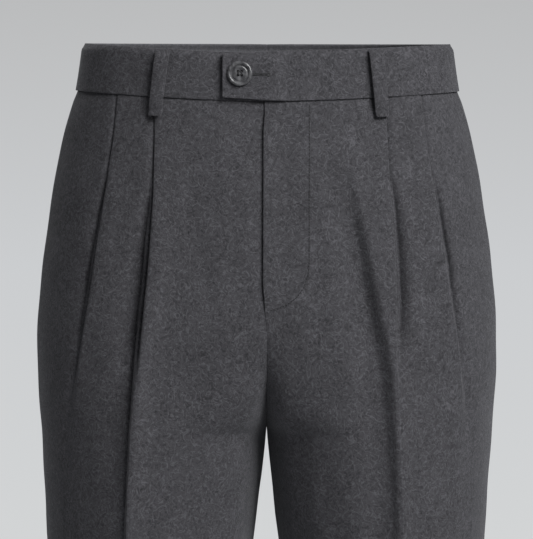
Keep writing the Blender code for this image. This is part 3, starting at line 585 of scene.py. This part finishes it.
# The panels dip in where they are sewn to the band, whose lines dip at the front
SEAM_TUCK, TUCK_REACH = 0.0009, 0.010
WAIST_SEAM, WAIST_SEAM_DIP = -0.0204, 0.0071
DIP_REACH = 0.160


def seam_level(side_level, dip, x, front):
    """Height of a waist line, level at the sides and the back and dipping at the front."""
    share = 0.5 + 0.5 * np.cos(math.pi * np.clip(np.abs(x) / DIP_REACH, 0, 1))
    return side_level - dip * share * front


def press_folds(piece):
    """Moves both faces of a panel's wall alike, so that the folds leave its thickness."""
    places = points_of(piece)
    x, y, z = places.T
    front = y < MIDDLE_DEPTH
    out = np.where(front, sum(fold_lift(line, x, z) for line in FRONT_FOLDS.values()),
                   sum(fold_lift(line, x, z) for line in BACK_FOLDS.values()))
    straight_out = front * sum(fold_lift(line, x, z, *PLEAT_FORMS[name])
                               for name, line in PLEAT_FOLDS.items())
    middle = BODY_MIDDLE + LEG_SPLAY * np.clip((FORK_LEVEL - z) / SPLAY_LENGTH, 0, 1)
    away = np.column_stack((x - np.sign(x) * middle, y - MIDDLE_DEPTH)) / (SIDE_DIVISOR, 1.0)
    away /= np.linalg.norm(away, axis=1)[:, None]
    ripple = RIPPLE * sum(
        share * np.sin(z * up + x * across) * np.sin(z * next_up + x * next_across + start)
        for share, up, across, next_up, next_across, start in RIPPLE_WAVES)
    held = np.clip((FREE_LEVEL - z) / FREE_EASE, 0, 1)
    off_seam = np.clip((np.abs(x) - HELD_WIDTH) / HELD_EASE, 0, 1)
    held *= np.where(z > HELD_FOOT, off_seam, 1.0)
    places[:, :2] += away * ((out + ripple) * held)[:, None]
    places[:, 1] -= straight_out * held

    eased = np.clip(np.minimum(FLY_TOP - z, z - FLY_FOOT) / FLY_EASE, 0, 1)
    lifted = eased * eased * (3 - 2 * eased) * soft(x / FLY_SPREAD) * front
    side = 1 if "left" in piece.name else -1
    places[:, 1] -= side * FLY_LIFT * lifted
    places[:, 0] -= side * FLY_LAP * np.clip((lifted - CLEAR_LIFT) / (1 - CLEAR_LIFT), 0, 1)
    under_seat = np.clip((SEAT_TOP - z) / SEAT_EASE, 0, 1) * soft(x / SEAT_SPREAD) * ~front
    places[:, 0] -= side * SEAT_CLOSE * under_seat
    below_seam = seam_level(WAIST_SEAM, WAIST_SEAM_DIP, x, front) - z
    places[:, :2] -= away * (SEAM_TUCK * soft(below_seam / TUCK_REACH))[:, None]
    move_points(piece, places)


PANEL_LEVELS, PANEL_EDGE, PANEL_RIM_ANGLE = 2, 0.0003, 40
PANELS = {
    # node: (flat width, flat length, flat area)
    "front_left": (0.335, 1.060, 0.283),
    "front_right": (0.335, 1.060, 0.282),
    "back_left": (0.335, 1.100, 0.284),
    "back_right": (0.335, 1.100, 0.284),
}
cloth = {}
for node, (width, length, area) in PANELS.items():
    piece = cut_cloth(node, node + "_panel", PANEL_LEVELS, PANEL_EDGE,
                      PANEL_RIM_ANGLE, panel_rim)
    press_folds(piece)
    piece.data.materials.append(flannel)
    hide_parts(node)
    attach(piece, "root")
    cloth[node] = piece


# ---------------------------------------------------------------- waistband
# A stiffened band in two halves, wool outside and a paler cotton curtain inside. The left
# half runs on past the centre as the tab that laps over the right one.

curtain = make_flannel("waistband_curtain", (0.12, 0.12, 0.13), 0.6, 0.0003, 0.0)
BANDS = {
    # node: (flat length, dip of its top edge at the front)
    "waistband_left": (0.480, 0.0060),
    "waistband_right": (0.436, 0.0078),
}
BAND_LEVELS, BAND_EDGE = 3, 0.0008
BAND_TOP, BAND_ROLL, ROLL_DEPTH = 0.0201, 0.0022, 0.006
TAB_END, TAB_CURL_START, TAB_CURL = -0.037, -0.029, 0.0013
UNDER_TAB, UNDER_TAB_REACH, UNDER_TAB_DIP = -0.040, 0.018, 0.0008
# The waist is wider than deep, so a way out of it is turned this much to the front or back
WAIST_TURN = 1.6
# A face that looks in more than this is the curtain's
CURTAIN_FACING = -0.3


def shape_band(piece, dip):
    """Rolls the top edge in, curls the tab's end off the band and presses the band under it."""
    places = points_of(piece)
    x, y, z = places.T
    top = seam_level(BAND_TOP, dip, x, y < MIDDLE_DEPTH)
    away = np.column_stack((x, WAIST_TURN * y))
    away /= np.linalg.norm(away, axis=1)[:, None]
    places[:, :2] -= away * (BAND_ROLL * soft((top - z) / ROLL_DEPTH))[:, None]
    if piece.name.startswith("waistband_left"):
        share = np.clip((TAB_CURL_START - x) / (TAB_CURL_START - TAB_END), 0, 1) * (y < 0)
        places[:, 1] -= TAB_CURL * share * share
    else:
        places[:, 1] += UNDER_TAB_DIP * soft((x - UNDER_TAB) / UNDER_TAB_REACH) * (y < 0)
    move_points(piece, places)


for node, (length, dip) in BANDS.items():
    piece = cut_cloth(node, node + "_band", BAND_LEVELS, BAND_EDGE)
    shape_band(piece, dip)
    piece.data.materials.append(flannel)
    piece.data.materials.append(curtain)
    for face in piece.data.polygons:
        outward = Vector((face.center.x, face.center.y * WAIST_TURN, 0))
        if face.normal.dot(outward.normalized()) < CURTAIN_FACING:
            face.material_index = 1
    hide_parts(node)
    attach(piece, "root")
    cloth[node] = piece


# ---------------------------------------------------------------- belt loops
# Five loops that hold a belt, each a strip of the same flannel that is folded in three to
# 11.5 mm. Both ends are sewn down, one at the band's top edge and one below the band.

LOOPS = ("belt_loop_front_left", "belt_loop_front_right", "belt_loop_back_left",
         "belt_loop_back_right", "belt_loop_centre_back")
LOOP_LEVELS, LOOP_EDGE, LOOP_HARDNESS = 3, 0.0005, 0.30
LOOP_CROWN = 0.0011
FOOT_CURL, FOOT_REACH = 0.0014, 0.006


def puff_loop(piece):
    """Crowns a loop across its width and curls its foot off the cloth under it."""
    places = points_of(piece)
    middle = (places.min(0) + places.max(0)) / 2
    out = np.array((middle[0], WAIST_TURN * middle[1]))
    out /= np.linalg.norm(out)
    across = (places - middle)[:, :2] @ np.array((-out[1], out[0]))
    share = np.abs(across) / np.abs(across).max()
    foot = soft((places[:, 2] - places[:, 2].min()) / FOOT_REACH)
    places[:, :2] += out * (LOOP_CROWN * (1 - share * share) + FOOT_CURL * foot)[:, None]
    move_points(piece, places)


for node in LOOPS:
    piece = cut_cloth(node, node + "_strip", LOOP_LEVELS, LOOP_EDGE, hardness=LOOP_HARDNESS)
    puff_loop(piece)
    piece.data.materials.append(flannel)
    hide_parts(node)
    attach(piece, "root")
    cloth[node] = piece


# ---------------------------------------------------------------- stitches
# The fly is held by a row of lockstitches that runs down beside the opening and curves in
# to meet it. The thread is a shade darker than the cloth.

def make_thread(name, colour):
    material = bpy.data.materials.new(name)
    material.use_nodes = True
    nodes, links = material.node_tree.nodes, material.node_tree.links
    shader = nodes["Principled BSDF"]
    place = nodes.new("ShaderNodeTexCoord")
    twist = nodes.new("ShaderNodeTexNoise")
    twist.inputs["Scale"].default_value = 3000
    mix = nodes.new("ShaderNodeMapRange")
    mix.inputs["To Min"].default_value = 0.6
    mix.inputs["To Max"].default_value = 1.4
    tint = nodes.new("ShaderNodeVectorMath")
    tint.operation = "SCALE"
    tint.inputs[0].default_value = colour
    links.new(place.outputs["Object"], twist.inputs["Vector"])
    links.new(twist.outputs["Fac"], mix.inputs["Value"])
    links.new(mix.outputs["Result"], tint.inputs["Scale"])
    links.new(tint.outputs["Vector"], shader.inputs["Base Color"])
    shader.inputs["Roughness"].default_value = 0.6
    return material


thread = make_thread("dark_thread", (0.010, 0.010, 0.012))


def model_stitch():
    """One stitch 1 long and 1 thick, rounded at both ends, that lies along X."""
    bpy.ops.object.select_all(action="DESELECT")
    bpy.ops.mesh.primitive_uv_sphere_add(segments=8, ring_count=6, radius=0.5)
    stitch = bpy.context.object
    corners = np.array([tuple(vertex.co) for vertex in stitch.data.vertices])[:, [2, 0, 1]]
    faces = [tuple(face.vertices) for face in stitch.data.polygons]
    bpy.data.objects.remove(stitch)
    return corners, faces


stitch_corners, stitch_faces = model_stitch()


def sew(name, stitches, thickness):
    """One piece of many stitches, each given by its two ends and its outward direction."""
    corners, faces = [], []
    for start, end, outward in stitches:
        along = end - start
        size = along.length
        along = along / size
        across = outward.cross(along).normalized()
        outward = along.cross(across)
        turn = np.array((along * size, across * thickness, outward * thickness))
        first = len(corners) * len(stitch_corners)
        corners.append(stitch_corners @ turn + np.array((start + end) / 2))
        faces += [tuple(corner + first for corner in face) for face in stitch_faces]
    mesh = bpy.data.meshes.new(name)
    mesh.from_pydata(np.vstack(corners).tolist(), [], faces)
    mesh.shade_smooth()
    mesh.materials.append(thread)
    piece = bpy.data.objects.new(name, mesh)
    bpy.context.scene.collection.objects.link(piece)
    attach(piece, "root")


def surface_under(piece):
    bpy.context.view_layer.update()
    return BVHTree.FromObject(piece, bpy.context.evaluated_depsgraph_get())


def on_front(tree, x, z):
    """The point of a piece's front face at x and z, and the way out of the cloth there."""
    hit, normal, _, _ = tree.ray_cast(Vector((x, -1.0, z)), Vector((0, 1, 0)))
    return hit, normal


def row_of_stitches(tree, path, pitch, share):
    """Stitches along a path of (x, z) on a front face, even in length."""
    path = [Vector(point) for point in path]
    lengths = [0.0]
    for start, end in zip(path, path[1:]):
        lengths.append(lengths[-1] + (end - start).length)
    stitches = []
    count = int(lengths[-1] / pitch)
    for i in range(count):
        ends = []
        for at in (i + 0.5 - share / 2, i + 0.5 + share / 2):
            x = np.interp(at * pitch, lengths, [point[0] for point in path])
            z = np.interp(at * pitch, lengths, [point[1] for point in path])
            ends.append(on_front(tree, x, z))
        (start, outward), (end, _) = ends
        if start and end:
            stitches.append((start, end, outward))
    return stitches


FLY_STITCH = ((0.0350, -0.0300), (0.0350, -0.1000), (0.0350, -0.1620), (0.0340, -0.1720),
              (0.0305, -0.1820), (0.0245, -0.1900), (0.0160, -0.1965), (0.0070, -0.2000),
              (0.0015, -0.2010))
STITCH_PITCH, STITCH_SHARE, STITCH_THICKNESS = 0.0026, 0.8, 0.0011
left_tree = surface_under(cloth["front_left"])
sew("fly_stitching", row_of_stitches(left_tree, FLY_STITCH, STITCH_PITCH, STITCH_SHARE),
    STITCH_THICKNESS)


# ---------------------------------------------------------------- waist button
# A four-hole button of dark polished horn, 21 mm across, with a raised rim and a dished
# middle. Thread runs from hole to hole in two upright bars.

def make_horn():
    material = bpy.data.materials.new("polished_horn")
    material.use_nodes = True
    nodes, links = material.node_tree.nodes, material.node_tree.links
    shader = nodes["Principled BSDF"]
    place = nodes.new("ShaderNodeTexCoord")
    figure = nodes.new("ShaderNodeTexNoise")
    figure.inputs["Scale"].default_value = 160
    figure.inputs["Detail"].default_value = 4
    figure.inputs["Distortion"].default_value = 1.5
    ramp = nodes.new("ShaderNodeValToRGB")
    ramp.color_ramp.elements[0].position = 0.35
    ramp.color_ramp.elements[0].color = (0.030, 0.030, 0.033, 1)
    ramp.color_ramp.elements[1].position = 0.70
    ramp.color_ramp.elements[1].color = (0.105, 0.106, 0.111, 1)
    links.new(place.outputs["Object"], figure.inputs["Vector"])
    links.new(figure.outputs["Fac"], ramp.inputs["Fac"])
    links.new(ramp.outputs["Color"], shader.inputs["Base Color"])
    shader.inputs["Roughness"].default_value = 0.34
    shader.inputs["Coat Weight"].default_value = 0.3
    shader.inputs["Coat Roughness"].default_value = 0.25
    return material


BUTTON_PROFILE = (
    # (radius, height) in mm, from the middle of the face round the rim to the back
    (0.0, 2.2), (3.2, 2.2), (5.0, 2.35), (5.7, 2.35), (6.2, 2.1), (6.6, 1.75), (7.0, 1.75),
    (7.4, 2.3), (7.8, 2.9), (8.3, 3.3), (8.9, 3.45), (9.5, 3.35), (10.0, 3.0), (10.35, 2.5),
    (10.5, 2.0), (10.4, 1.4), (9.9, 0.9), (8.8, 0.4), (7.4, 0.1), (0.0, 0.1))
BUTTON_STEPS, BUTTON_MERGE = 72, 0.000005
HOLE_RADIUS = 0.00125
HOLE_SPREAD = 0.0021
DRILL_LENGTH = 0.02

node_points = np.array([tuple(v.co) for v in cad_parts["waist_button"].data.vertices])
low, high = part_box("waist_button")
button_middle = (low + high) / 2
spread = node_points - node_points.mean(0)
button_axis = Vector(np.linalg.svd(spread, full_matrices=False)[2][2])
if button_axis.y > 0:
    button_axis = -button_axis
reaches = (node_points - np.array(button_middle)) @ np.array(button_axis)
button_back = button_middle + button_axis * float(reaches.min())
button_side = Vector((1, 0, 0)) - button_axis * button_axis.x
button_side.normalize()
button_up = button_axis.cross(button_side)
seated = Matrix((button_side, button_up, button_axis)).transposed().to_4x4()
seated.translation = button_back

mesh = bpy.data.meshes.new("waist_button_turned")
profile = [(radius / 1000, 0.0, height / 1000) for radius, height in BUTTON_PROFILE]
mesh.from_pydata(profile, [(i, i + 1) for i in range(len(profile) - 1)], [])
button = bpy.data.objects.new("waist_button_turned", mesh)
bpy.context.scene.collection.objects.link(button)
edit(button)
bpy.ops.mesh.select_all(action="SELECT")
bpy.ops.mesh.spin(steps=BUTTON_STEPS, angle=2 * math.pi, center=(0, 0, 0), axis=(0, 0, 1))
bpy.ops.mesh.select_all(action="SELECT")
bpy.ops.mesh.remove_doubles(threshold=BUTTON_MERGE)
bpy.ops.mesh.normals_make_consistent(inside=False)
bpy.ops.object.mode_set(mode="OBJECT")
for i in range(4):
    angle = math.radians(45 + 90 * i)
    bpy.ops.mesh.primitive_cylinder_add(vertices=20, radius=HOLE_RADIUS, depth=DRILL_LENGTH,
                                        location=(HOLE_SPREAD * math.cos(angle),
                                                  HOLE_SPREAD * math.sin(angle), 0))
    drill = bpy.context.object
    hole = button.modifiers.new("hole", "BOOLEAN")
    hole.object = drill
    hole.operation = "DIFFERENCE"
    hole.solver = "EXACT"
    bpy.ops.object.select_all(action="DESELECT")
    button.select_set(True)
    bpy.context.view_layer.objects.active = button
    bpy.ops.object.modifier_apply(modifier="hole")
    bpy.data.objects.remove(drill)
button.data.transform(seated)
bpy.ops.object.shade_smooth_by_angle(angle=math.radians(40))
button.data.materials.append(make_horn())
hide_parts("waist_button")
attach(button, "root")

STRAND_GAP, STRAND_HEIGHT, STRAND_THICKNESS = 0.0006, 0.0024, 0.0008
# How far a strand reaches into its hole, as a share of the hole's radius
STRAND_REACH = 0.4
bars = []
for side in (-1, 1):
    for strand in (-0.5, 0.5):
        x = side * HOLE_SPREAD * math.cos(math.pi / 4) + strand * STRAND_GAP
        reach = HOLE_SPREAD * math.sin(math.pi / 4) + HOLE_RADIUS * STRAND_REACH
        ends = [seated @ Vector((x, sign * reach, STRAND_HEIGHT)) for sign in (-1, 1)]
        bars.append((ends[0], ends[1], button_axis))
sew("button_thread", bars, STRAND_THICKNESS)


# ---------------------------------------------------------------- buttonhole
# The binding of a slit across the tab from under the button: close stitches along both its
# sides and round the eye at its inner end; the slit itself is not cut.

SLIT_START, SLIT_END, SLIT_HEIGHT = -0.0130, 0.0002, -0.0055
SLIT_STITCHES, SLIT_GAP = 30, 0.0001
BOUND_DEPTH, BINDING_THICKNESS = 0.0012, 0.0011
EYE_RADIUS, EYE_STITCHES = 0.0008, 14
# The eye's stitches start at this share of its radius
EYE_START = 0.4

tab_tree = surface_under(cloth["waistband_left"])
bound = []
for i in range(SLIT_STITCHES):
    x = SLIT_START + (SLIT_END - SLIT_START) * i / (SLIT_STITCHES - 1)
    for side in (-1, 1):
        inner, outward = on_front(tab_tree, x, SLIT_HEIGHT + side * SLIT_GAP)
        outer, _ = on_front(tab_tree, x, SLIT_HEIGHT + side * BOUND_DEPTH)
        bound.append((inner, outer, outward))
for i in range(EYE_STITCHES):
    angle = 2 * math.pi * i / EYE_STITCHES
    ends = []
    for reach in (EYE_RADIUS * EYE_START, EYE_RADIUS + BOUND_DEPTH):
        x = SLIT_END + EYE_RADIUS + reach * math.cos(angle)
        ends.append(on_front(tab_tree, x, SLIT_HEIGHT + reach * math.sin(angle)))
    bound.append((ends[0][0], ends[1][0], ends[0][1]))
sew("buttonhole_binding", bound, BINDING_THICKNESS)


low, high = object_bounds()
